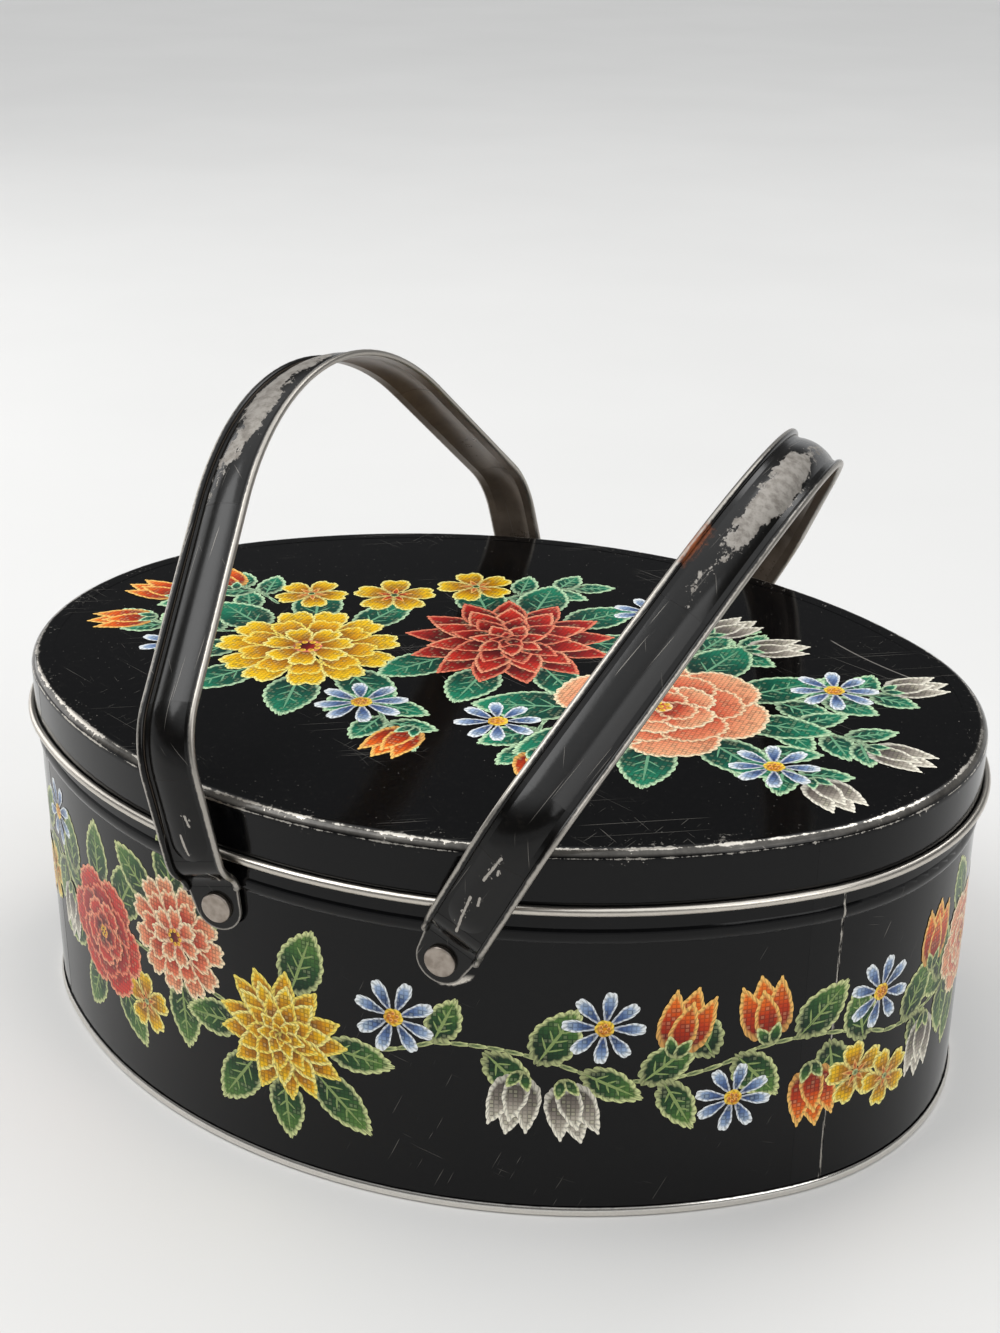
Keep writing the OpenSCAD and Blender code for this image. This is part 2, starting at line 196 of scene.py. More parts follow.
class Graph:
    """Shader graph of one material, written as sums of values."""

    def __init__(self, name: str) -> None:
        """Make the material and read the place on the resting object, in millimetres.

        Args:
            name: Name of the material.
        """
        self.material = bpy.data.materials.new(name)
        self.material.use_nodes = True
        self.tree = self.material.node_tree
        self.tree.nodes.clear()
        surface = self.step("BsdfPrincipled", {})
        self.shader = surface.socket.node
        self.feed(self.tree.nodes.new("ShaderNodeOutputMaterial").inputs["Surface"], surface)
        spot = self.split(self.step("TexCoord", {}, "Object"))
        self.x, self.y, self.z = (part * (1 / MM) for part in spot)
        self.place = self.vector(self.x, self.y, self.z)

    def step(self, kind: str, terms: dict[int | str, Number | Tint], out: int | str = 0,
             **settings: str) -> Value:
        """Add a node and feed it.

        Args:
            kind: Blender's name of the node after ShaderNode.
            terms: What goes into its sockets.
            out: Socket that gives the result.
            settings: Properties to set on the node.

        Returns:
            The result.
        """
        made = self.tree.nodes.new(f"ShaderNode{kind}")
        for key, setting in settings.items():
            setattr(made, key, setting)
        for socket, term in terms.items():
            self.feed(made.inputs[socket], term)
        return Value(self, made.outputs[out])

    def feed(self, target: bpy.types.NodeSocket, value: Number | Tint) -> None:
        """Give a socket its number, its tint or its link.

        Args:
            target: Socket to set.
            value: What it gets.
        """
        if isinstance(value, Value):
            self.tree.links.new(value.socket, target)
        else:
            target.default_value = (*value, 1.0) if isinstance(value, tuple) else value

    def paint(self, looks: dict[str, Number | Tint]) -> None:
        """Set the shader's sockets by name."""
        for name, look in looks.items():
            self.feed(self.shader.inputs[name], look)

    def math(self, operation: str, *terms: Number) -> Value:
        """One step of a sum, under Blender's name of it."""
        return self.step("Math", dict(enumerate(terms)), operation=operation)

    def length(self, a: Value, b: Value) -> Value:
        """Length of the vector with these two parts."""
        return self.math("SQRT", a * a + b * b)

    def most(self, *values: Number) -> Value:
        """Largest of the values."""
        return reduce(lambda a, b: self.math("MAXIMUM", a, b), values)

    def least(self, *values: Number) -> Value:
        """Smallest of the values."""
        return reduce(lambda a, b: self.math("MINIMUM", a, b), values)

    def smooth(self, value: Value, low: float, high: float) -> Value:
        """Ease from 0 at low to 1 at high.

        Args:
            value: Value to follow.
            low: Where the rise starts.
            high: Where the rise ends; it may lie under low for a fall.

        Returns:
            Value from 0 to 1.
        """
        terms = {"Value": value, "From Min": min(low, high), "From Max": max(low, high)}
        rise = self.step("MapRange", terms, "Result", interpolation_type="SMOOTHSTEP")
        return 1.0 - rise if high < low else rise

    def split(self, vector: Value) -> tuple[Value, ...]:
        """Take a vector apart into its three parts."""
        parts = self.step("SeparateXYZ", {0: vector})
        return tuple(Value(self, out) for out in parts.socket.node.outputs)

    def normal(self) -> tuple[Value, ...]:
        """Three parts of the direction in which the resting object's surface faces."""
        facing = self.step("NewGeometry", {}, "Normal")
        return self.split(self.step("VectorTransform", {0: facing}, vector_type="NORMAL",
                                    convert_from="WORLD", convert_to="OBJECT"))

    def mark(self, name: str, out: str = "Vector") -> Value:
        """What the mesh stores under a name."""
        return self.step("Attribute", {}, out, attribute_name=name)

    def vector(self, *parts: Number) -> Value:
        """Vector with these three parts."""
        return self.step("CombineXYZ", dict(enumerate(parts)))

    def noise(self, scale: float, detail: float = 2.0, rough: float = 0.5,
              place: Value | None = None) -> Value:
        """Soft random value around 0.5, of a fineness, finer layers and their strength, read at a place."""
        return self.step("TexNoise", {"Vector": place or self.place, "Scale": scale, "Detail": detail,
                                      "Roughness": rough})

    def scratches(self, a: Value, b: Value, *kinds: Quad) -> Value:
        """Draw sparse straight scratches.

        Args:
            a: First place on the surface, in millimetres.
            b: Second place on the surface.
            kinds: Of each kind, the direction in degrees, how many could lie side by side and how many
                could follow each other on a millimetre, and how rare they are, from 0.5 to 0.8.

        Returns:
            1 on a scratch and 0 beside it.
        """
        drawn = []
        for turn, fine, long, level in kinds:
            c, s = way(turn)
            spot = self.vector((a * c + b * s) * long, (b * c - a * s) * fine, turn)
            drawn.append(self.smooth(self.noise(1.0, 1.0, place=spot), level, level + 0.04))
        return self.most(*drawn)

    def beside(self, a: Value, b: Value, start: Point, end: Point) -> tuple[Value, Value, float]:
        """Measure from a straight stroke.

        Args:
            a: First place on the surface, in millimetres.
            b: Second place on the surface.
            start: Where the stroke starts.
            end: Where it ends.

        Returns:
            Way along the stroke, way beside it, and its length.
        """
        run = math.dist(start, end)
        c, s = ((q - p) / run for p, q in zip(start, end))
        a, b = a - start[0], b - start[1]
        return a * c + b * s, b * c - a * s, run

    def stroke(self, a: Value, b: Value, start: Point, end: Point) -> Value:
        """Distance of a place from a straight stroke, in millimetres."""
        along, aside, run = self.beside(a, b, start, end)
        return self.length(aside, self.most(abs(along - run / 2) - run / 2, 0.0))

    def mix(self, factor: Number, a: Paint, b: Paint) -> Value:
        """Mix two colours; factor runs from 0 for the first to 1 for the second."""
        # The node's colour form has sockets of its own.
        return self.step("Mix", {0: factor, 6: a, 7: b}, 2, data_type="RGBA")

    def bump(self, height: Value, strength: float, distance: float) -> None:
        """Raise the surface by a share of a height, whose size is in metres."""
        terms = {"Strength": strength, "Distance": distance, "Height": height}
        self.paint({"Normal": self.step("Bump", terms, "Normal")})

    def oval_distance(self) -> Value:
        """Measure from the wall's oval.

        Returns:
            Distance outside it, in millimetres.
        """
        ax, ay = abs(self.x), abs(self.y)
        end = self.length(ax - OVAL.end_x, ay) - OVAL.end_r
        side = self.length(ax, ay + OVAL.side_y) - OVAL.side_r
        c, s = math.cos(OVAL.join), math.sin(OVAL.join)
        return side + (end - side) * self.math("GREATER_THAN", (ax - OVAL.end_x) * s, ay * c)


@dataclass(frozen=True)
class WornLacquer:
    """Lacquer over tinplate, with what shows where it has worn off."""

    name: str
    coat: Tint = tint(7, 7, 8)
    haze: Tint = tint(26, 25, 24)
    metal: Tint = tint(214, 208, 198)
    stain: Tint = tint(70, 60, 50)
    gloss: float = 0.06
    dull: float = 0.28
    mirror: float = 0.2

    def dress(self, g: Graph, worn: Value, marks: Number = 0.0) -> bpy.types.Material:
        """Finish a graph whose worn places are known.

        Args:
            g: Graph to finish.
            worn: 1 where bare metal shows; on the lid this also holds a painted highlight band.
            marks: Fine marks that dull the lacquer.

        Returns:
            The finished material.
        """
        cloud = g.noise(0.035, 4.0, 0.6)
        grime = g.smooth(g.noise(0.6, 5.0, 0.7), 0.5, 0.75)
        lacquer = g.mix(g.least(grime * 0.3 + marks, 1.0), self.coat, self.haze)
        steel = g.mix(g.noise(1.4, 4.0, 0.7), self.metal, blend_tint(self.metal, self.stain, 0.35))
        rough = self.gloss + cloud * 0.09 + grime * 0.05 + marks * 0.2
        g.paint({"Base Color": g.mix(worn, lacquer, steel), "Metallic": worn,
                 "Roughness": rough + (self.dull - rough) * worn, "Specular IOR Level": self.mirror})
        g.bump(g.noise(0.9) + worn * -0.8, 0.08, 0.0001)
        return g.material


class LidFinish:
    """Black lacquer of the lid, bare along its curl and worn along its edge, with a painted highlight band
    along the edge's bend.
    """

    lacquer = WornLacquer("lid_lacquer")
    curl_z = 100.4
    # Where wear and the painted highlight band lie on the edge's bend, in radians up from the skirt.
    crest_turn = 1.22
    lower_turn = 0.34
    sheen_turn = 0.95
    sweep = ((91.0, 60.0), (122.5, 40.0))
    hairs = ((31.0, 2.2, 0.012, 0.7), (-24.0, 2.6, 0.018, 0.71), (77.0, 2.8, 0.09, 0.72),
             (140.0, 3.0, 0.06, 0.73))

    def build(self) -> bpy.types.Material:
        """Make the material.

        Returns:
            The lid's material.
        """
        g = Graph(self.lacquer.name)
        d, z = g.oval_distance(), g.z
        mid_z, mid_d = LID_TOP - LID_EDGE_R, SKIRT_OUT - LID_EDGE_R
        corner = g.math("ARCTAN2", z - mid_z, d - mid_d)
        chips, fine = g.noise(0.11, 8.0, 0.75) - 0.5, g.noise(0.75, 4.0, 0.7) - 0.5
        ragged = chips * 2.2 + fine * 1.1
        crest = g.smooth(1.0 - abs(corner - self.crest_turn) / 0.34 + ragged * 1.7, 0.62, 0.86)
        lower = g.smooth(0.9 - abs(corner - self.lower_turn) / 0.22 + ragged * 1.4, 0.66, 0.86)
        # Painted highlight: a faint band of part-bare metal along the edge's bend stands in for the sheen
        # that light leaves on the rounded edge.
        painted_sheen = g.smooth(abs(corner - self.sheen_turn), 0.55, 0.15) * (0.16 + chips * 0.5)
        flakes = g.smooth(fine + chips * 0.8, 0.17, 0.23)
        on_edge = g.smooth(d, -7.5, -1.8) * g.smooth(z, mid_z - 1.0, mid_z)
        in_corner = g.smooth(z, mid_z - 0.1, mid_z + 0.3) * g.smooth(d, mid_d - 0.2, mid_d + 0.2)
        outer = g.smooth(g.length(z - mid_z, d - mid_d), LID_EDGE_R - 0.2, LID_EDGE_R - 0.1) * in_corner
        inside = g.smooth(z, LID_TOP - 0.6, LID_TOP - 0.9) * g.smooth(d, 0.62, 0.55) * (1.0 - outer)
        curl = g.smooth(d + fine * 0.3, CURL_OUT - 0.1, CURL_OUT + 0.25)
        curl = curl * g.smooth(z, self.curl_z + 0.6, self.curl_z)
        hair = self.hair(g) * g.smooth(z, LID_TOP - 0.4, LID_TOP - 0.2)
        # The bare share holds real wear and the painted highlight band.
        bare = g.most(g.most(crest, lower, flakes, painted_sheen) * on_edge, curl, inside, hair * 0.55)
        return self.lacquer.dress(g, bare, hair)

    def hair(self, g: Graph) -> Value:
        """Draw the fine scratches on the lid's top and the one long bent scratch.

        Args:
            g: Graph to draw in.

        Returns:
            1 on a scratch and 0 beside it.
        """
        patchy = g.smooth(g.noise(0.02, 3.0), 0.48, 0.62)
        specks = g.smooth(g.noise(1.1, 1.0), 0.76, 0.79)
        along, aside, run = g.beside(g.x, g.y, *self.sweep)
        bent = g.smooth(abs(aside + along * (run - along) * 0.004), 0.34, 0.14)
        bent = bent * g.smooth(abs(along - run / 2), run / 2, run / 2 - 3.0)
        return g.most(bent, g.scratches(g.x, g.y, *self.hairs) * patchy * 0.5, specks * 0.6)


class WallFinish:
    """Black lacquer of the wall, with its worn seam and the rub mark that a foot has left."""

    lacquer = WornLacquer("wall_lacquer")
    seam_turn = 42.0
    rub_r = 8.6
    under_curl = 96.0
    rim_z = 112.2
    turn_r = 130.0

    def build(self) -> bpy.types.Material:
        """Make the material.

        Returns:
            The wall's material.
        """
        g = Graph(self.lacquer.name)
        x, y, z = g.x, g.y, g.z
        fine = g.noise(0.75, 4.0, 0.7) - 0.5
        c, s = way(self.seam_turn)
        seam_x, seam_y = OVAL.end_x + OVAL.end_r * c, -OVAL.end_r * s
        across = (x - seam_x) * s + (y - seam_y) * c
        near = g.smooth(abs(y - seam_y), 30.0, 20.0) * g.smooth(x, 90.0, 100.0)
        near = near * g.smooth(z, self.under_curl + 1.0, self.under_curl)
        streak = g.noise(1.0, 3.0, 0.7, g.vector(across * 1.5, 3.0, z * 0.16))
        seam = g.smooth(abs(across + 0.1 + fine * 0.5), 0.5, 0.2) * g.smooth(streak, 0.45, 0.56) * near * 0.8
        foot = g.length(x - PIVOT_X, z - PIVOT_Z)
        under = g.smooth(z, PIVOT_Z - 5.0, PIVOT_Z - 7.0) * g.smooth(x, PIVOT_X - 3.0, PIVOT_X)
        rub = g.smooth(abs(foot - self.rub_r) + fine * 1.8, 1.1, 0.5) * under * g.smooth(y, *FRONT)
        inside = g.smooth(g.oval_distance(), -0.15, -0.25)
        rim = g.smooth(z, self.rim_z, self.rim_z + 0.4)
        patchy = g.smooth(g.noise(0.025, 3.0), 0.5, 0.64)
        turn = g.math("ARCTAN2", y, x) * self.turn_r
        marks = g.scratches(turn, z, (64.0, 2.2, 0.07, 0.73), (-18.0, 2.6, 0.05, 0.74)) * patchy * 0.6
        return self.lacquer.dress(g, g.most(seam, rub, inside, rim, marks * 0.4), marks)


class BaseFinish:
    """Bare bright seam bead round a plain tinplate base."""

    lacquer = WornLacquer("base_tinplate", coat=tint(16, 15, 14), metal=tint(242, 238, 231), dull=0.2)
    bead_h = 2.8

    def build(self) -> bpy.types.Material:
        """Make the material.

        Returns:
            The base's material.
        """
        g = Graph(self.lacquer.name)
        d = g.oval_distance()
        ragged = g.noise(0.5, 5.0, 0.7) - 0.5
        low = g.smooth(g.z + ragged * 0.8, self.bead_h + 0.3, self.bead_h)
        bead = g.smooth(d + ragged * 0.35, 0.2, 0.5) * low
        return self.lacquer.dress(g, g.most(bead, g.smooth(d, -0.6, -0.8)))


@dataclass(frozen=True)
class StrapFinish:
    """Lacquer of a handle's strap: bright rolled edges, a scuffed crown and a brown inner face."""

    name: str
    pivot_x: float
    lean: float
    scuff_from: float
    scuff_to: float
    scuff_draw: float
    scuff_off: float
    nicks: tuple[Stroke, ...]
    rust: Stroke | None = None
    scuff_half: float = 4.6
    half_w: float = 8.2
    crown_mid: float = 28.9
    crown_r: float = 95.0
    foot_r: float = 7.2
    foot_h: float = 6.0
    flare: float = 0.13
    inner: Tint = tint(122, 109, 96)
    scuffed: Tint = tint(158, 153, 146)
    stained: Tint = tint(122, 116, 109)
    rusty: Tint = tint(150, 80, 40)

    def build(self) -> bpy.types.Material:
        """Make the material.

        Returns:
            The strap's material.
        """
        lacquer = WornLacquer(self.name, coat=tint(10, 9, 8), haze=tint(36, 32, 28),
                              metal=tint(182, 177, 169), gloss=0.13, dull=0.36, mirror=0.28)
        g = Graph(self.name)
        c, s = way(self.lean)
        dx, dz = g.x - self.pivot_x, g.z - PIVOT_Z
        across, up = dx * c - dz * s, dx * s + dz * c
        nx, ny, nz = g.normal()
        rise = up - self.crown_mid
        outer = g.smooth((ny * g.y + (nx * s + nz * c) * rise) / g.length(g.y, rise), -0.1, 0.25)
        chips, fine = g.noise(0.09, 6.0, 0.75) - 0.5, g.noise(0.8, 4.0, 0.7) - 0.5
        edge = g.smooth(abs(across) + chips * 0.9 + fine * 0.7, self.half_w - 0.45, self.half_w + 0.15)
        edge = edge * g.smooth(up, self.foot_h - 1.0, self.foot_h + 1.0)
        foot = g.length(abs(across) - g.most(up, 0.0) * self.flare, g.least(up, 0.0))
        toe = g.smooth(foot + fine * 0.5, self.foot_r - 0.6, self.foot_r - 0.2)
        toe = toe * g.smooth(up, self.foot_h + 1.0, self.foot_h)
        along = g.math("ARCTAN2", g.y, rise) * self.crown_r
        lines = g.scratches(along, across, (4.0, 2.2, 0.03, 0.71), (-38.0, 2.4, 0.05, 0.74))
        bare = g.most(edge, toe * 0.7, lines * 0.4, self.nicked(g, up, across, fine) * outer)
        material = lacquer.dress(g, bare, lines * 0.6)
        stain = g.smooth(g.noise(0.35, 5.0, 0.7), 0.4, 0.68)
        scuff = self.worn_crown(g, along, across, fine) * outer
        self.tone(g, scuff, g.mix(stain, self.scuffed, self.stained), 0.6, 0.58)
        inside = (1.0 - outer) * g.smooth(up, 20.0, 34.0) * (1.0 - bare) * (0.75 + chips)
        self.tone(g, inside, self.inner, 0.5, 0.34)
        if self.rust:
            gap = g.stroke(along, across, *self.rust)
            streaks = g.noise(1.0, 4.0, 0.7, g.vector(along * 0.1, across * 1.3, 5.0))
            rust = g.smooth(gap + fine * 4.0 + chips * 3.0, 2.6, 0.2) * g.smooth(streaks, 0.36, 0.58)
            self.tone(g, rust * 0.85, self.rusty, 0.3, 0.5)
        return material

    def worn_crown(self, g: Graph, along: Value, across: Value, fine: Value) -> Value:
        """Draw the scuff that hands have worn on the crown, and the crumbs round it.

        Args:
            g: Graph to draw in.
            along: Way along the crown from its middle.
            across: Way across the strap.
            fine: Fine random value.

        Returns:
            1 where the lacquer is gone.
        """
        mid, half = (self.scuff_from + self.scuff_to) / 2, (self.scuff_to - self.scuff_from) / 2
        far = g.length((along - mid) / half, (across - self.scuff_off) / self.scuff_half)
        blot = g.noise(1.0, 7.0, 0.62, g.vector(along * 0.05, across * 0.13, self.scuff_draw)) - 0.5
        torn = g.noise(1.0, 6.0, 0.7, g.vector(along * 0.2, across * 0.26, self.scuff_draw + 4.0)) - 0.5
        reach = far + blot * 2.6 + torn * 1.5
        crumbs = g.smooth(fine + g.smooth(reach, 1.7, 0.9) * 0.2, 0.3, 0.33) * g.smooth(far, 1.9, 1.4)
        scuff = g.most(g.smooth(reach + fine * 0.35, 0.95, 0.89), crumbs)
        return scuff * g.smooth(abs(across), self.half_w, self.half_w - 0.8)

    def nicked(self, g: Graph, up: Value, across: Value, fine: Value) -> Value:
        """Draw the short nicks on the front leg and the flakes beside them.

        Args:
            g: Graph to draw in.
            up: Way up the leg from the pivot.
            across: Way across the strap.
            fine: Fine random value.

        Returns:
            1 on a nick and 0 beside it.
        """
        gap = g.least(*(g.stroke(up, across, *nick) for nick in self.nicks))
        near = g.smooth(gap, 3.2, 0.4)
        flakes = g.smooth(fine + near * 0.16, 0.27, 0.3) * near
        return g.most(g.smooth(gap + fine * 0.9, 0.42, 0.24), flakes) * g.smooth(g.y, *FRONT)

    def tone(self, g: Graph, share: Value, colour: Paint, metallic: float, rough: float) -> None:
        """Lay another tone over a finished graph.

        Args:
            g: Graph to change.
            share: How much of the tone shows.
            colour: Its colour.
            metallic: Its metallic value.
            rough: Its roughness.
        """
        share = g.least(g.most(share, 0.0), 1.0)
        base, metal, dull = (Value(g, g.shader.inputs[name].links[0].from_socket)
                             for name in ("Base Color", "Metallic", "Roughness"))
        g.paint({"Base Color": g.mix(share, base, colour), "Metallic": metal + (metallic - metal) * share,
                 "Roughness": dull + (rough - dull) * share})


class RivetFinish:
    """Dull bare steel of the rivets."""

    pale, brown, pit = tint(168, 158, 148), tint(142, 132, 122), tint(84, 74, 66)

    def build(self) -> bpy.types.Material:
        """Make the material.

        Returns:
            The rivets' material.
        """
        g = Graph("rivet_steel")
        stain = g.noise(0.3, 3.0)
        pits = g.smooth(g.noise(1.6), 0.72, 0.8)
        steel = g.mix(g.smooth(stain, 0.38, 0.66), self.pale, self.brown)
        g.paint({"Base Color": g.mix(pits * 0.4, steel, self.pit), "Metallic": 1.0,
                 "Roughness": 0.34 + stain * 0.1})
        g.bump(stain + pits * -0.3, 0.1, 0.0002)
        return g.material


class PrintFinish:
    """Printed needlework under clear lacquer: single stitches on a canvas and a corded edge on each petal."""

    canvas = 1.3
    cord = 2.0
    shade, light, thread = tint(14, 16, 14), tint(250, 255, 200), tint(26, 26, 16)

    def build(self) -> bpy.types.Material:
        """Make the material.

        Returns:
            The print's material.
        """
        g = Graph("needlework_print")
        ink = g.mark("ink", "Color")
        u, v = (part / self.canvas for part in g.split(g.mark("canvas"))[:2])
        depth, along = g.split(g.mark("hem"))[:2]
        gaps = g.most(*(g.smooth(g.math("COSINE", part * math.tau), 0.2, 0.95) for part in (u, v)))
        cell = g.vector(g.math("FLOOR", u), g.math("FLOOR", v), 0.0)
        stitch = g.step("TexWhiteNoise", {"Vector": cell}, "Value", noise_dimensions="2D")
        wool, patch = g.noise(0.9, 3.0, 0.6), g.noise(0.16)
        body = g.smooth(depth, 0.5, 1.3)
        dark = g.smooth(stitch + patch * 0.8, 0.95, 1.25) * 0.34 + gaps * 0.3
        shaded = g.mix(dark * body, ink, self.shade)
        bright = (1.0 - gaps) * g.smooth(stitch - patch * 0.6, 0.34, 0.6) * body
        lit = g.mix(bright * 0.6, shaded, g.mix(0.2, ink, self.light))
        twist = g.math("SINE", (along + depth * 1.1) * (math.tau / self.cord))
        corded = g.smooth(twist, 0.0, -0.8) * g.smooth(depth, 1.2, 0.7)
        g.paint({"Base Color": g.mix(corded * 0.42, lit, self.thread), "Roughness": 0.24 + wool * 0.14,
                 "Specular IOR Level": 0.22})
        g.bump(wool + gaps * -0.3, 0.06, 0.0001)
        return g.material


class Outline(Enum):
    """Forms of the print's petals and leaves."""

    ROUND = "round"
    POINTED = "pointed"
    NOTCHED = "notched"
    DROP = "drop"
    LEAF = "leaf"
    DISC = "disc"

    def at(self, turn: float) -> Point:
        """Find a point of the form.

        Args:
            turn: Way round it, 0 at its tip.

        Returns:
            Place along and across its axis, each from -1 to 1.
        """
        c, s = math.cos(turn), math.sin(turn)
        if self is Outline.ROUND:
            return math.copysign(abs(c) ** 0.8, c), math.copysign(abs(s) ** 0.8, s)
        if self is Outline.POINTED:
            return c, s * math.sqrt((1.0 - c) / 2 + 0.02) * 1.22
        if self is Outline.NOTCHED:
            near = min(turn, math.tau - turn)
            return c * (1.0 - 0.24 * math.exp(-(near / 0.3) ** 2)), s * (0.78 + 0.22 * c)
        if self is Outline.DROP:
            return c, s * (0.62 + 0.38 * c)
        if self is Outline.LEAF:
            return c, s * abs(s) ** 0.5 * (1.0 - 0.22 * c)
        return c, s


@dataclass(frozen=True)
class Dye:
    """Colours of one petal or leaf, from its base to its rim."""

    base: Tint
    body: Tint
    tip: Tint
    rim: Tint


RED = Dye(tint(70, 6, 8), tint(190, 30, 24), tint(226, 62, 42), tint(250, 170, 132))
RED_DEEP = Dye(tint(40, 2, 6), tint(132, 14, 16), tint(200, 40, 30), tint(244, 140, 108))
CORAL = Dye(tint(196, 58, 36), tint(242, 138, 96), tint(252, 186, 140), tint(255, 236, 196))
CORAL_DEEP = Dye(tint(142, 22, 18), tint(226, 92, 60), tint(244, 150, 108), tint(255, 222, 178))
YELLOW = Dye(tint(150, 76, 4), tint(246, 186, 10), tint(255, 214, 32), tint(255, 244, 150))
YELLOW_DEEP = Dye(tint(92, 42, 2), tint(232, 156, 6), tint(250, 198, 18), tint(255, 234, 112))
BLUE = Dye(tint(30, 52, 104), tint(112, 142, 190), tint(186, 206, 228), tint(244, 248, 248))
GOLD = Dye(tint(190, 92, 2), tint(246, 170, 14), tint(254, 194, 26), tint(255, 220, 84))
ORANGE = Dye(tint(132, 22, 6), tint(226, 74, 18), tint(250, 136, 34), tint(255, 204, 112))
PEARL = Dye(tint(74, 66, 62), tint(160, 150, 138), tint(216, 208, 190), tint(250, 244, 226))
GREEN = Dye(tint(2, 44, 38), tint(8, 106, 80), tint(34, 142, 104), tint(204, 236, 190))
OLIVE = Dye(tint(12, 40, 22), tint(50, 98, 46), tint(104, 140, 64), tint(218, 224, 158))


@dataclass(frozen=True)
class Petal:
    """One flat petal or leaf of the print, in millimetres."""

    form: Outline
    x: float
    y: float
    turn: float
    length: float
    width: float
    dye: Dye
    scallop: float = 0.6
    pitch: float = 3.4

    def moved(self, x: float, y: float, turn: float) -> "Petal":
        """Turn the petal about the origin, by degrees, and move it."""
        px, py = turned(self.x, self.y, turn)
        return replace(self, x=x + px, y=y + py, turn=self.turn + turn)

    def rim(self) -> list[Point]:
        """Find the scalloped outline.

        Returns:
            Points round the petal, about its own middle and along its own axis.
        """
        around = math.pi * (self.length + self.width) / 2
        lobes = max(3, round(around / self.pitch))
        steps = max(14, min(96, 4 * lobes)) if self.scallop else max(8, min(20, round(around / 1.6)))
        size = (self.length + self.width) / 4
        points = []
        for k in range(steps):
            turn = math.tau * k / steps
            px, py = self.form.at(turn)
            grow = 1.0 + self.scallop / size * (abs(math.sin(lobes * turn / 2)) - 0.6)
            points.append((px * self.length / 2 * grow, py * self.width / 2 * grow))
        return points

    def meets(self, other: "Petal") -> bool:
        """Tell whether the boxes along two petals' axes overlap.

        Args:
            other: The other petal.

        Returns:
            True where they overlap or almost touch.
        """
        gap = (other.x - self.x, other.y - self.y)
        reach = math.hypot(self.length, self.width) / 2 + math.hypot(other.length, other.width) / 2
        if gap[0] ** 2 + gap[1] ** 2 > (reach + 1.0) ** 2:
            return False
        axes = [way(self.turn), way(other.turn)]
        for ax, ay in axes + [(-ay, ax) for ax, ay in axes]:
            span = 0.4
            for petal, (px, py) in zip((self, other), axes):
                span += petal.length / 2 * abs(ax * px + ay * py) + petal.width / 2 * abs(ax * -py + ay * px)
            if abs(gap[0] * ax + gap[1] * ay) > span:
                return False
        return True


Row = list[Petal]
Rows = list[Row]


def set_at(rows: Rows, x: float, y: float, turn: float = 0.0) -> Rows:
    """Turn and move a whole motif."""
    return [[petal.moved(x, y, turn) for petal in row] for row in rows]


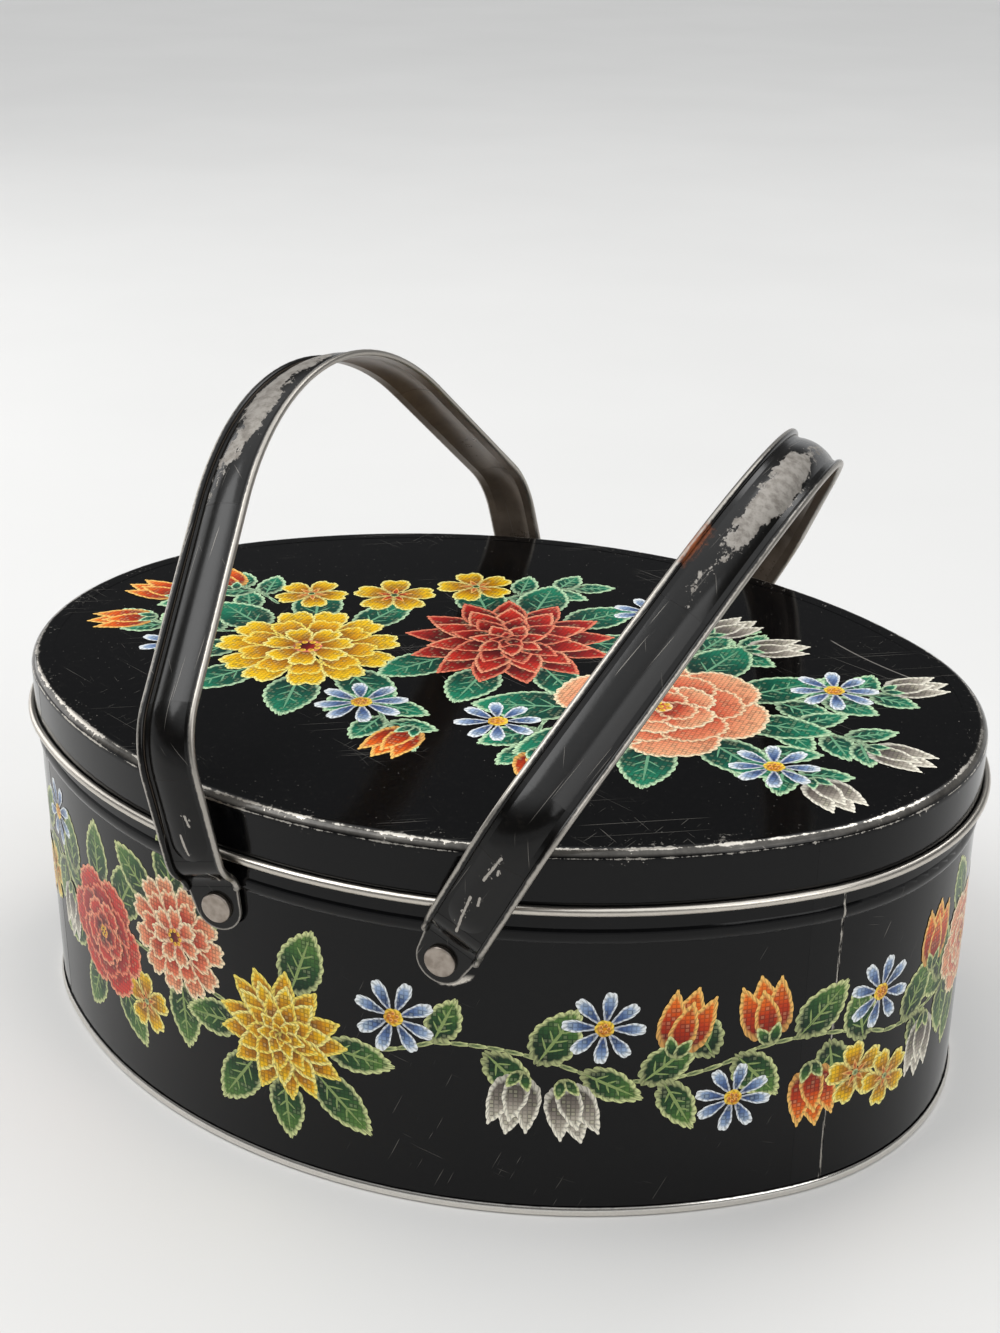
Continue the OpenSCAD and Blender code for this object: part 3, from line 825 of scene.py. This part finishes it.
class Motifs:
    """Flowers and leaves of the print, each built about its own middle as rows of petals, lowest first."""

    # Count of each ring, and its petals' distance, length and width as shares of the flower's radius.
    dahlia_rings = ((13, 0.71, 0.60, 0.38), (11, 0.54, 0.54, 0.36), (9, 0.37, 0.44, 0.31),
                    (7, 0.22, 0.34, 0.25), (5, 0.09, 0.22, 0.17))
    camellia_rings = ((6, 0.58, 0.80, 0.84), (6, 0.42, 0.64, 0.66), (5, 0.28, 0.50, 0.52),
                      (4, 0.17, 0.34, 0.36))
    zinnia_rings = ((11, 0.68, 0.64, 0.50), (9, 0.49, 0.54, 0.44), (7, 0.30, 0.42, 0.36))
    flame_r = 10.5
    pearl_r = 10.0
    vein_turn = 46.0
    leaf_turn = 48.0

    def __init__(self, seed: int) -> None:
        """Start the motifs' own random draws."""
        self.draw = random.Random(seed)

    def rings(self, form: Outline, r: float, plan: Iterable[Quad],
              dyes: tuple[Dye, ...], scallop: float, start: float = 0.0, twist: float = 0.0) -> Rows:
        """Set rings of petals round a middle.

        Args:
            form: Form of the petals.
            r: Radius of the flower.
            plan: Count, distance, length and width of each ring's petals.
            dyes: Colours that the rings take by turns.
            scallop: Depth of the scallops along their edges.
            start: Turn of the first petal in degrees.
            twist: Turn from ring to ring in degrees.

        Returns:
            The rings, lowest first.
        """
        rows = []
        for ring, (count, dist, length, width) in enumerate(plan):
            rows.append([])
            for k in range(count):
                turn = start + ring * twist + 360.0 * k / count + self.draw.uniform(-4.0, 4.0)
                grow = self.draw.uniform(0.94, 1.06)
                c, s = way(turn)
                rows[-1].append(Petal(form, dist * r * c, dist * r * s, turn, length * r * grow, width * r,
                                      dyes[ring % len(dyes)], scallop))
        return rows

    def dots(self, count: int, r: float, size: float, dye: Dye) -> Row:
        """Set small discs on a circle."""
        ways = [way(360.0 * k / count) for k in range(count)]
        return [Petal(Outline.DISC, r * c, r * s, 0.0, size, size, dye, 0.0) for c, s in ways]

    def eye(self, size: float, dye: Dye, scallop: float = 0.0) -> Row:
        """Set one disc in the middle."""
        return [Petal(Outline.DISC, 0.0, 0.0, 0.0, size, size, dye, scallop)]

    def dahlia(self, r: float, outer: Dye, inner: Dye) -> Rows:
        """Build a dahlia of pointed petals."""
        return self.rings(Outline.POINTED, r, self.dahlia_rings, (inner, outer), 0.4, twist=13.0)

    def camellia(self, r: float, outer: Dye, inner: Dye) -> Rows:
        """Build a camellia of broad petals round a tuft of gold dots."""
        rows = self.rings(Outline.ROUND, r, self.camellia_rings, (outer, inner), 0.8, twist=28.0)
        return rows + [self.eye(0.22 * r, inner, 0.2),
                       self.dots(6, 0.075 * r, 0.06 * r, GOLD) + self.eye(0.06 * r, GOLD)]

    def zinnia(self, r: float, outer: Dye, inner: Dye) -> Rows:
        """Build a zinnia of notched petals round a dark eye."""
        rows = self.rings(Outline.NOTCHED, r, self.zinnia_rings, (outer, inner), 0.6, twist=17.0)
        return rows + [self.eye(0.3 * r, RED_DEEP, 0.2), self.dots(8, 0.11 * r, 0.07 * r, GOLD)]

    def aster(self, r: float) -> Rows:
        """Build a small aster with a gold eye."""
        rows = self.rings(Outline.DROP, r, ((8, 0.56, 0.86, 0.48),), (BLUE,), 0.35, 8.0)
        return rows + [self.eye(0.46 * r, GOLD, 0.25), self.dots(5, 0.1 * r, 0.1 * r, ORANGE)]

    def primrose(self, r: float) -> Rows:
        """Build a five-petalled primrose."""
        rows = self.rings(Outline.NOTCHED, r, ((5, 0.54, 0.9, 0.84),), (YELLOW,), 0.4, 18.0)
        return (rows + self.rings(Outline.POINTED, r, ((5, 0.24, 0.4, 0.16),), (ORANGE,), 0.0, 18.0)
                + [self.eye(0.2 * r, OLIVE)])

    def tulip(self, r: float, dye: Dye, leafy: Dye) -> Rows:
        """Build a tulip seen from the side, which opens to the right.

        Args:
            r: Half its length.
            dye: Colours of its petals.
            leafy: Colours of its cup.

        Returns:
            Its rows of petals.
        """
        both = (1, -1)
        return [[Petal(Outline.POINTED, 0.12 * r, 0.0, 0.0, 1.9 * r, r, dye, 0.3)],
                [Petal(Outline.POINTED, 0.0, k * 0.38 * r, k * 10.0, 1.8 * r, 0.8 * r, dye, 0.45)
                 for k in both],
                [Petal(Outline.POINTED, -0.12 * r, 0.0, 0.0, 1.5 * r, 0.76 * r, dye, 0.45)],
                [Petal(Outline.LEAF, -0.8 * r, k * 0.16 * r, k * 24.0, 0.7 * r, 0.36 * r, leafy, 0.0)
                 for k in both]]

    def tulips(self, places: Iterable[Spot], r: float, dye: Dye, leafy: Dye) -> Rows:
        """Set tulips, each at its x, y and direction in degrees."""
        return [row for x, y, turn in places for row in set_at(self.tulip(r, dye, leafy), x, y, turn)]

    def strewn(self, places: Iterable[Spot], flower: Callable[[float], Rows]) -> Rows:
        """Set small flowers, each at its x and y and with its radius."""
        return [row for x, y, r in places for row in set_at(flower(r), x, y, x)]

    def leaf(self, stalk: Point, turn: float, length: float, dye: Dye) -> Rows:
        """Build a leaf from its stalk outward.

        Args:
            stalk: Place of its stalk.
            turn: Direction of its tip in degrees.
            length: Its length.
            dye: Its colours.

        Returns:
            The blade and its veins.
        """
        width = length * self.draw.uniform(0.52, 0.62)
        vein = Dye(*[blend_tint(dye.tip, dye.rim, 0.28)] * 4)
        blade = [Petal(Outline.LEAF, length / 2, 0.0, 0.0, length, width, dye, 0.75, 3.0)]
        rib = [Petal(Outline.LEAF, length * 0.46, 0.0, 0.0, length * 0.8, 0.9, vein, 0.0)]
        veins = []
        for k in range(3):
            start, reach = length * (0.24 + 0.17 * k), width * (0.38 - 0.06 * k)
            for aside in (-self.vein_turn, self.vein_turn):
                px, py = turned(reach / 2, 0.0, aside)
                veins.append(Petal(Outline.LEAF, start + px, py, aside, reach, 0.6, vein, 0.0))
        return set_at([blade, veins, rib], *stalk, turn)

    def leaves(self, middle: Point, start: float, turns: Iterable[float], length: float, dye: Dye) -> Rows:
        """Set leaves round a middle.

        Args:
            middle: The middle.
            start: Distance of their stalks from it.
            turns: Their directions in degrees.
            length: Their length.
            dye: Their colours.

        Returns:
            The leaves.
        """
        rows = []
        for turn in turns:
            px, py = turned(start, 0.0, turn)
            lean, grow = self.draw.uniform(-8.0, 8.0), self.draw.uniform(0.9, 1.1)
            rows += self.leaf((middle[0] + px, middle[1] + py), turn + lean, length * grow, dye)
        return rows

    def stem(self, start: Point, bend: Point, end: Point, dye: Dye, thick: float = 1.4) -> Rows:
        """Lay a bent stem of short overlapping pieces.

        Args:
            start: Its first end.
            bend: The place that it bends toward.
            end: Its last end.
            dye: Its colours.
            thick: Its thickness.

        Returns:
            The pieces, as one row.
        """
        count = max(4, round(math.dist(start, end) / 5.0))
        spots = [[(1 - t) ** 2 * p + 2 * t * (1 - t) * q + t * t * r for p, q, r in zip(start, bend, end)]
                 for t in (k / count for k in range(count + 1))]
        return [[Petal(Outline.ROUND, (x0 + x1) / 2, (y0 + y1) / 2,
                       math.degrees(math.atan2(y1 - y0, x1 - x0)), math.hypot(x1 - x0, y1 - y0) + 0.9,
                       thick, dye, 0.0)
                 for (x0, y0), (x1, y1) in zip(spots, spots[1:])]]

    def sprig(self, start: Point, bend: Point, end: Point, count: int, length: float) -> Rows:
        """Lay a green stem with leaves on both sides and one at its end.

        Args:
            start: Its first end.
            bend: The place that it bends toward.
            end: Its last end.
            count: How many side leaves it has.
            length: Length of the leaves.

        Returns:
            The stem and its leaves.
        """
        rows = self.stem(start, bend, end, GREEN)
        line = rows[0]
        last = len(line) - 1
        for k in range(count):
            piece = line[min(last, round((k + 0.6) / count * last))]
            turn = piece.turn + (self.leaf_turn if k % 2 else -self.leaf_turn)
            rows += self.leaf((piece.x, piece.y), turn, length * (1.0 - 0.28 * k / count), GREEN)
        return rows + self.leaf((line[last].x, line[last].y), line[last].turn, length * 0.8, GREEN)


class Sheet(Enum):
    """Surfaces that carry the print."""

    LID = "lid"
    WALL = "tin"

    def place(self, x: float, y: float, high: float) -> Vector:
        """Find a place on the surface.

        Args:
            x: Way to the right on the lid, or along the wall from the middle of the front.
            y: Way to the back on the lid, or up the wall.
            high: Height over the surface.

        Returns:
            The place in metres.
        """
        if self is Sheet.LID:
            return Vector((x, y, PANEL_TOP + high)) * MM
        px, py = OVAL.at(x, high)
        return Vector((px, py, y)) * MM


@dataclass
class Pile:
    """What lies on a sheet so far: each petal gets the lowest free layer over those that it covers."""

    laid: list[tuple[Petal, int]] = field(default_factory=list)

    def layers(self, row: Row) -> list[int]:
        """Lay one row of petals.

        Args:
            row: Petals that lie beside each other.

        Returns:
            The layer of each petal.
        """
        placed: list[tuple[Petal, int]] = []
        for petal in row:
            low = 1 + max((layer for under, layer in self.laid if petal.meets(under)), default=-1)
            taken = {layer for beside, layer in placed if petal.meets(beside)}
            placed.append((petal, next(k for k in range(low, low + len(taken) + 1) if k not in taken)))
        self.laid += placed
        return [layer for _, layer in placed]


@dataclass
class PrintPiece:
    """Thin closed piece of the print, built up petal by petal."""

    name: str
    sheet: Sheet
    rows: Rows
    first: float = 0.02
    step: float = 0.009
    hem: float = 1.1
    spots: list[Vector] = field(default_factory=list)
    faces: list[list[int]] = field(default_factory=list)
    inks: list[float] = field(default_factory=list)
    canvas: list[float] = field(default_factory=list)
    hems: list[float] = field(default_factory=list)

    def build(self, pile: Pile, material: bpy.types.Material) -> None:
        """Make the mesh and lay it on its surface.

        Args:
            pile: What lies on the surface so far.
            material: The print's material.
        """
        for row in self.rows:
            for petal, layer in zip(row, pile.layers(row)):
                self.add(petal, self.first + self.step * (layer + 1))
        mesh = bpy.data.meshes.new(self.name)
        mesh.from_pydata(self.spots, [], self.faces)
        mesh.attributes.new("ink", "FLOAT_COLOR", "POINT").data.foreach_set("color", self.inks)
        for name, values in (("canvas", self.canvas), ("hem", self.hems)):
            mesh.attributes.new(name, "FLOAT_VECTOR", "POINT").data.foreach_set("vector", values)
        mesh.materials.append(material)
        mesh.update()
        piece = bpy.data.objects.new(self.name, mesh)
        bpy.context.scene.collection.objects.link(piece)
        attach(piece, self.sheet.value)
        LOG.info("%s: %d rows on %s", self.name, len(self.rows), self.sheet.value)

    def add(self, petal: Petal, top: float) -> None:
        """Add one petal as a thin closed plate.

        Args:
            petal: Petal to add.
            top: Height of its upper face.
        """
        rim = petal.rim()
        count, size = len(rim), min(petal.length, petal.width) / 2
        band = min(self.hem / size, 0.3)
        # Share of the outline and share of the rim's colour; a small petal has fewer rings.
        rings = [(1.0, 1.0), (1.0 - band * 0.7, 0.8), (1.0 - band * 1.25, 0.0), (0.4, 0.0)]
        rings = rings[:1 if size < 1.2 else 3 if size < 3.5 else 4]
        first = len(self.spots)
        ways = [0.0]
        for here, there in zip(rim, rim[1:]):
            ways.append(ways[-1] + math.dist(here, there))
        for share, pale in rings:
            for (px, py), along in zip(rim, ways):
                self.vertex(petal, (px * share, py * share, top), pale, (1.0 - share) * size, along)
        self.vertex(petal, (0.0, 0.0, top), 0.0, size, 0.0)
        for (px, py), along in zip(rim, ways):
            self.vertex(petal, (px, py, top - self.step * 0.9), 1.0, 0.0, along)
        last = first + (len(rings) - 1) * count
        middle, under = last + count, last + count + 1
        for k in range(count):
            n = (k + 1) % count
            for p in range(first, last, count):
                self.faces.append([p + k, p + n, p + count + n, p + count + k])
            self.faces += [[last + k, last + n, middle], [under + k, under + n, first + n, first + k]]
        self.faces.append([under + k for k in reversed(range(count))])

    def vertex(self, petal: Petal, spot: Spot, pale: float, depth: float, along: float) -> None:
        """Add one vertex with its colour and its place on canvas and hem.

        Args:
            petal: Petal that it belongs to.
            spot: Its place along and across the petal's axis, and its height.
            pale: Share of the rim's colour.
            depth: Distance from the rim.
            along: Way along the rim.
        """
        px, py = turned(spot[0], spot[1], petal.turn)
        x, y = petal.x + px, petal.y + py
        self.spots.append(self.sheet.place(x, y, spot[2]))
        t = (spot[0] / petal.length * 2 + 1) / 2
        body = blend_tint(petal.dye.base, petal.dye.body, t * 1.6 - 0.22)
        inner = blend_tint(body, petal.dye.tip, t * 2.0 - 1.0)
        self.inks.extend((*blend_tint(inner, petal.dye.rim, pale * min(1.0, 0.5 + t)), 1.0))
        self.canvas.extend((x, y, 0.0))
        self.hems.extend((depth, along, 0.0))


class Bouquet:
    """Printed bouquet on the lid."""

    seed = 11
    # Start, bend and end of each sprig, its side leaves and their length.
    sprigs = {
        "left": (((-82, -8), (-98, -18), (-116, -12), 4, 19), ((-82, 6), (-100, 10), (-118, 9), 4, 18),
                 ((-84, 16), (-98, 26), (-106, 24), 3, 18)),
        "right": (((82, 4), (100, 14), (118, 28), 5, 21), ((84, -8), (106, -4), (124, -12), 5, 20),
                  ((80, -22), (98, -30), (112, -40), 4, 20)),
        "front": (((-30, -26), (-20, -44), (-6, -56), 4, 20), ((30, -28), (30, -46), (38, -54), 3, 20)),
        "behind": (((30, 36), (44, 46), (58, 52), 3, 19), ((40, 24), (60, 34), (74, 43), 4, 20),
                   ((-20, 44), (-12, 62), (2, 68), 4, 19)),
    }
    # Middle of each large flower's leaves, distance of their stalks, their directions and length.
    leaves = {
        "left": ((-58, -12), 21, (70, 112, 158, 204, 248, 292, 330), 29),
        "middle": ((-2, 18), 22, (18, 58, 92, 130, 236, 276, 320), 29),
        "right": ((58, -10), 23, (-118, -78, -40, 0, 40, 82, 204), 30),
    }
    asters = ((-24, -42, 14), (18, -38, 13), (102, 22, 13.5), (99, -34, 13), (-97, -26, 12.5), (32, 58, 13))
    primroses = ((-52, 38, 15), (-30, 56, 14), (-78, 28, 13))
    flames = ((-124, -16, 214), (-127, 10, 176), (-112, 28, 140), (-4, -62, 262), (40, -60, 296))
    pearls = ((124, 34, 38), (130, -14, -14), (60, 56, 58), (78, 46, 30), (118, -44, -44))

    def pieces(self) -> list[PrintPiece]:
        """Lay out the bouquet.

        Returns:
            Its pieces from the lowest up, each a flower or a spray.
        """
        m = Motifs(self.seed)
        sprays = {f"spray_{side}": [row for sprig in plan for row in m.sprig(*sprig)]
                  for side, plan in self.sprigs.items()}
        sprays |= {f"leaves_{side}": m.leaves(*plan, GREEN) for side, plan in self.leaves.items()}
        sprays |= {"flames": m.tulips(self.flames, m.flame_r, ORANGE, GREEN),
                   "pearls": m.tulips(self.pearls, m.pearl_r, PEARL, GREEN),
                   "primroses": m.strewn(self.primroses, m.primrose),
                   "asters": m.strewn(self.asters, m.aster),
                   "zinnia": set_at(m.zinnia(30.0, YELLOW, YELLOW_DEEP), -58.0, -12.0),
                   "dahlia": set_at(m.dahlia(33.0, RED, RED_DEEP), -2.0, 18.0),
                   "camellia": set_at(m.camellia(33.0, CORAL, CORAL_DEEP), 58.0, -10.0)}
        return [PrintPiece(f"lid_{name}", Sheet.LID, rows) for name, rows in sprays.items()]


class Garland:
    """Printed garland round the wall: one run of flowers that comes twice."""

    seed = 23
    knots = ((-128, 62), (-96, 52), (-20, 46), (30, 54), (74, 46), (118, 52), (160, 46), (204, 54), (250, 60),
             (284, 62))
    # Stalk, direction and length of each leaf along the vine.
    tendrils = ((30, 54, 66, 16), (44, 53, -46, 20), (58, 50, 58, 21), (70, 48, -28, 19), (86, 44, 40, 20),
                (92, 45, -62, 19), (106, 51, 118, 20), (112, 51, -50, 20), (130, 53, 46, 21),
                (140, 50, -80, 20), (152, 46, 102, 19), (168, 45, 56, 21), (172, 46, -58, 19),
                (186, 50, 84, 20), (190, 50, -88, 20), (226, 58, 70, 20), (236, 60, -52, 20),
                (252, 60, 112, 19), (258, 60, -120, 19), (272, 62, 62, 19), (276, 62, -52, 18),
                (-112, 58, 96, 21), (-120, 60, -112, 19))
    # Middle of each large flower's leaves, distance of their stalks, their directions and length.
    leaves = (((-92, 48), 14, (50, 96, 150, 204, 252, 304), 23), ((-54, 62), 13, (48, 92, 136, 276), 22),
              ((-16, 46), 14, (190, 232, 272, 318, 0, 74), 23), ((206, 55), 12, (40, 110, 190, 250, 320), 20))
    pearls = ((52, 37, -102), (68, 35, -76), (178, 33, -96), (-118, 42, -100), (246, 44, -70))
    flames = ((98, 63, 74), (120, 64, 100), (136, 33, -82), (264, 44, -92), (182, 68, 84))
    asters = ((19, 60, 12), (76, 62, 11.5), (112, 37, 11), (157, 60, 11.5), (230, 44, 11), (-124, 74, 11))
    primroses = ((150, 36, 11), (162, 30, 10), (244, 74, 11), (276, 48, 10.5), (-70, 34, 11))
    sway = 7.0
    thick = 1.5

    def run(self, m: Motifs) -> dict[str, Rows]:
        """Lay out one run from the left of the front to the right end.

        Args:
            m: Motifs to draw from.

        Returns:
            Rows of petals by name, from the lowest up, about the middle of the front.
        """
        vine = []
        for k, ((x0, y0), (x1, y1)) in enumerate(zip(self.knots, self.knots[1:])):
            bend = ((x0 + x1) / 2, (y0 + y1) / 2 + (self.sway if k % 2 else -self.sway))
            vine += m.stem((x0, y0), bend, (x1, y1), OLIVE, self.thick)
        return {"vine": vine,
                "greens": [row for plan in self.leaves for row in m.leaves(*plan, OLIVE)],
                "twigs": [row for x, y, turn, size in self.tendrils
                          for row in m.leaf((x, y), turn, size, OLIVE)],
                "pearls": m.tulips(self.pearls, m.pearl_r, PEARL, OLIVE),
                "flames": m.tulips(self.flames, m.flame_r, ORANGE, OLIVE),
                "primroses": m.strewn(self.primroses, m.primrose),
                "asters": m.strewn(self.asters, m.aster),
                "camellia": set_at(m.camellia(21.0, RED, RED_DEEP), -92.0, 48.0),
                "zinnia": set_at(m.zinnia(20.0, CORAL, CORAL_DEEP), -54.0, 63.0),
                "dahlia": set_at(m.dahlia(21.0, YELLOW, YELLOW_DEEP), -16.0, 45.0),
                "rose": set_at(m.camellia(18.0, CORAL, CORAL_DEEP), 206.0, 55.0)}

    def pieces(self) -> list[PrintPiece]:
        """Lay the run on the front and right, and again on the back and left.

        Returns:
            The pieces.
        """
        found = []
        for turn, half in enumerate(("front", "back")):
            shift = turn * OVAL.perimeter / 2
            for name, rows in self.run(Motifs(self.seed + turn)).items():
                found.append(PrintPiece(f"wall_{half}_{name}", Sheet.WALL, set_at(rows, shift, 0.0)))
        return found


class Tin:
    """Tin, lid, handles and rivets: the CAD solids with their finishes, and the print on them."""

    left = StrapFinish("left_strap", -PIVOT_X, -12.6, -56.0, 16.0, 5.0, -1.0, LEFT_NICKS)
    right = StrapFinish("right_strap", PIVOT_X, 27.7, -58.0, 22.0, 9.0, 1.0, RIGHT_NICKS, RIGHT_RUST)

    def dress(self) -> None:
        """Give every CAD solid its finish."""
        finishes = {"body_wall": WallFinish(), "base_panel": BaseFinish(), "lid": LidFinish(),
                    "left_handle": self.left, "right_handle": self.right}
        made = {name: finish.build() for name, finish in finishes.items()}
        rivet = RivetFinish().build()
        for name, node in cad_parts.items():
            material = made.get(name, rivet)
            for slot in node.material_slots:
                slot.material = material
            LOG.info("%s: %s", name, material.name)

    def print_on(self) -> None:
        """Lay the print on the lid and the wall."""
        ink = PrintFinish().build()
        for pieces in (Bouquet().pieces(), Garland().pieces()):
            pile = Pile()
            for piece in pieces:
                piece.build(pile, ink)


@dataclass(frozen=True)
class Lamp:
    """Soft square lamp that looks at the tin."""

    name: str
    place: Spot
    size: float
    watts: float
    target: Spot = (0.0, 0.0, 0.08)

    def build(self) -> None:
        """Make the lamp."""
        light = bpy.data.lights.new(self.name, "AREA")
        light.shape = "SQUARE"
        light.size = self.size
        light.energy = self.watts
        lamp = bpy.data.objects.new(self.name, light)
        lamp.location = self.place
        lamp.rotation_euler = (Vector(self.target) - Vector(self.place)).to_track_quat("-Z", "Y").to_euler()
        bpy.context.scene.collection.objects.link(lamp)


@dataclass(frozen=True)
class Studio:
    """Pale floor, soft light and the camera."""

    eye: Spot = (0.21166, -0.49700, 0.35463)
    turn: float = 22.82
    tilt: float = 23.99
    roll: float = 0.38
    lens: float = 51.66
    sensor: float = 36.0
    near: float = 0.01
    half: float = 8.0
    paper: tuple[Tint, Tint] = (tint(214, 213, 211), tint(222, 221, 219))
    sky: Tint = (0.97, 0.985, 1.0)
    # Height of the view at which each change starts and ends, and the strength at both.
    ramps: tuple[Quad, ...] = ((0.45, 0.95, 0.11, 1.55), (0.1, 0.22, 0.5, 0.0))
    lamps: tuple[Lamp, ...] = (
        Lamp("key_lamp", (-0.8, -0.6, 1.6), 0.9, 11.0),
        Lamp("fill_lamp", (1.3, -0.6, 1.0), 0.8, 5.0),
        Lamp("back_lamp", (0.5, 1.4, 1.7), 0.8, 6.5),
        Lamp("side_lamp", (-1.5, 0.35, 0.65), 0.9, 5.0),
    )

    def build(self) -> None:
        """Make the floor, the lamps, the world and the camera."""
        self.floor()
        for lamp in self.lamps:
            lamp.build()
        self.world()
        self.camera()

    def floor(self) -> None:
        """Make the plain pale floor."""
        mesh = bpy.data.meshes.new("floor")
        corners = ((-1, -1), (1, -1), (1, 1), (-1, 1))
        mesh.from_pydata([(x * self.half, y * self.half, 0.0) for x, y in corners], [], [(0, 1, 2, 3)])
        g = Graph("floor_paper")
        g.paint({"Base Color": g.mix(g.noise(0.004, 3.0), *self.paper), "Roughness": 0.8})
        mesh.materials.append(g.material)
        floor = bpy.data.objects.new("floor", mesh)
        bpy.context.scene.collection.objects.link(floor)

    def world(self) -> None:
        """Make the surroundings: bright overhead, dim halfway down and pale along the horizon."""
        world = bpy.data.worlds.new("studio_room")
        world.use_nodes = True
        tree = world.node_tree
        back = tree.nodes["Background"]
        back.inputs["Color"].default_value = (*self.sky, 1.0)
        split = tree.nodes.new("ShaderNodeSeparateXYZ")
        tree.links.new(tree.nodes.new("ShaderNodeTexCoord").outputs["Generated"], split.inputs[0])
        both = tree.nodes.new("ShaderNodeMath")
        both.operation = "ADD"
        for term, ramp in zip(both.inputs, self.ramps):
            rise = tree.nodes.new("ShaderNodeMapRange")
            rise.interpolation_type = "SMOOTHSTEP"
            for socket, number in zip(("From Min", "From Max", "To Min", "To Max"), ramp):
                rise.inputs[socket].default_value = number
            tree.links.new(split.outputs["Z"], rise.inputs["Value"])
            tree.links.new(rise.outputs["Result"], term)
        tree.links.new(both.outputs[0], back.inputs["Strength"])
        bpy.context.scene.world = world

    def camera(self) -> None:
        """Set the camera at the photograph's angle."""
        (ca, sa), (ce, se), (cr, sr) = way(self.turn), way(self.tilt), way(self.roll)
        back, right = Vector((sa * ce, -ca * ce, se)), Vector((ca, sa, 0.0))
        up = back.cross(right)
        axes = Matrix((right * cr + up * sr, up * cr - right * sr, back))
        data = bpy.data.cameras.new("camera")
        data.lens = self.lens
        data.sensor_width = self.sensor
        data.clip_start = self.near
        eye = bpy.data.objects.new("camera", data)
        eye.matrix_world = Matrix.Translation(self.eye) @ axes.transposed().to_4x4()
        bpy.context.scene.collection.objects.link(eye)
        bpy.context.scene.camera = eye
        bpy.context.scene.view_settings.view_transform = "Standard"


def main() -> None:
    """Build the studio, dress the tin and lay the print on it."""
    logging.basicConfig(level=logging.INFO)
    Studio().build()
    tin = Tin()
    tin.dress()
    tin.print_on()


if __name__ == "__main__":
    main()
